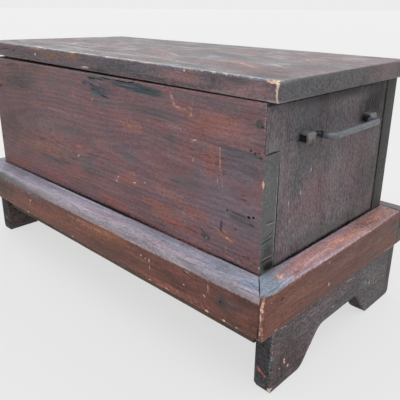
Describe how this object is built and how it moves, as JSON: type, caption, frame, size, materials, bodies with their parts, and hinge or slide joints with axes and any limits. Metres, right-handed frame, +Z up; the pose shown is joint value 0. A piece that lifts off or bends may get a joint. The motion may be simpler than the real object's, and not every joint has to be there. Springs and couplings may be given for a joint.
{
  "type": "blanket chest",
  "caption": "Low lidded wooden chest on arched end feet with a moulded base rail, rear butt hinges and an iron bail handle at each end.",
  "frame": {"origin": "on the ground, under the middle of the chest's outline in plan", "axes": "+X to the chest's right end, -Y to its front, +Z up"},
  "size_m": [0.84, 0.44, 0.4565],
  "materials": {
    "front_paint": "old oxblood paint rubbed back to the wood along its edges",
    "end_paint": "old brown paint gone grey, over vertical grain",
    "back_paint": "thin brown paint",
    "lid_paint": "brown paint greyed by weather and wear",
    "rail_paint": "red-brown paint, its upper faces worn grey",
    "foot_paint": "dark paint, scuffed",
    "bare_pine": "bare aged pine",
    "nail_iron": "dull rusted iron",
    "hinge_iron": "dull rusted iron",
    "handle_iron": "rubbed forged iron with rust at the staples"
  },
  "bodies": {
    "case": {"front_lower_board": "front_paint", "front_upper_board": "front_paint", "right_end_board": "end_paint", "left_end_board": "end_paint", "back_lower_board": "back_paint", "back_upper_board": "back_paint", "front_base_rail": "rail_paint", "back_base_rail": "rail_paint", "right_base_rail": "rail_paint", "left_base_rail": "rail_paint", "right_foot_board": "foot_paint", "left_foot_board": "foot_paint", "floor_front_board": "bare_pine", "floor_back_board": "bare_pine", "right_foot_blocks": "bare_pine", "left_foot_blocks": "bare_pine", "right_foot_dowels": "bare_pine", "left_foot_dowels": "bare_pine", "case_nails": "nail_iron", "floor_nails": "nail_iron", "base_rail_nails": "nail_iron", "hinge_body_screws": "nail_iron", "left_hinge_body_leaf": "hinge_iron", "left_hinge_pin": "hinge_iron", "right_hinge_body_leaf": "hinge_iron", "right_hinge_pin": "hinge_iron", "right_handle_front_staple": "handle_iron", "right_handle_rear_staple": "handle_iron", "left_handle_front_staple": "handle_iron", "left_handle_rear_staple": "handle_iron"},
    "lid": {"lid_front_plank": "lid_paint", "lid_rear_plank": "lid_paint", "lid_left_batten": "bare_pine", "lid_right_batten": "bare_pine", "lid_batten_nails": "nail_iron", "left_hinge_lid_leaf": "hinge_iron", "right_hinge_lid_leaf": "hinge_iron", "hinge_lid_screws": "nail_iron"},
    "right_handle": {"right_handle_bail": "handle_iron"},
    "left_handle": {"left_handle_bail": "handle_iron"}
  },
  "joints": [
    {"name": "lid_hinge", "type": "hinge", "parent": "case", "child": "lid", "pos_m": [0, 0.1989, 0.422], "axis": [-1, 0, 0], "range_deg": [0, 100]},
    {"name": "right_handle_swing", "type": "hinge", "parent": "case", "child": "right_handle", "pos_m": [0.387, 0.007, 0.365], "axis": [0, 1, 0], "range_deg": [-90, 90]},
    {"name": "left_handle_swing", "type": "hinge", "parent": "case", "child": "left_handle", "pos_m": [-0.387, 0.007, 0.365], "axis": [0, -1, 0], "range_deg": [-90, 90]}
  ]
}
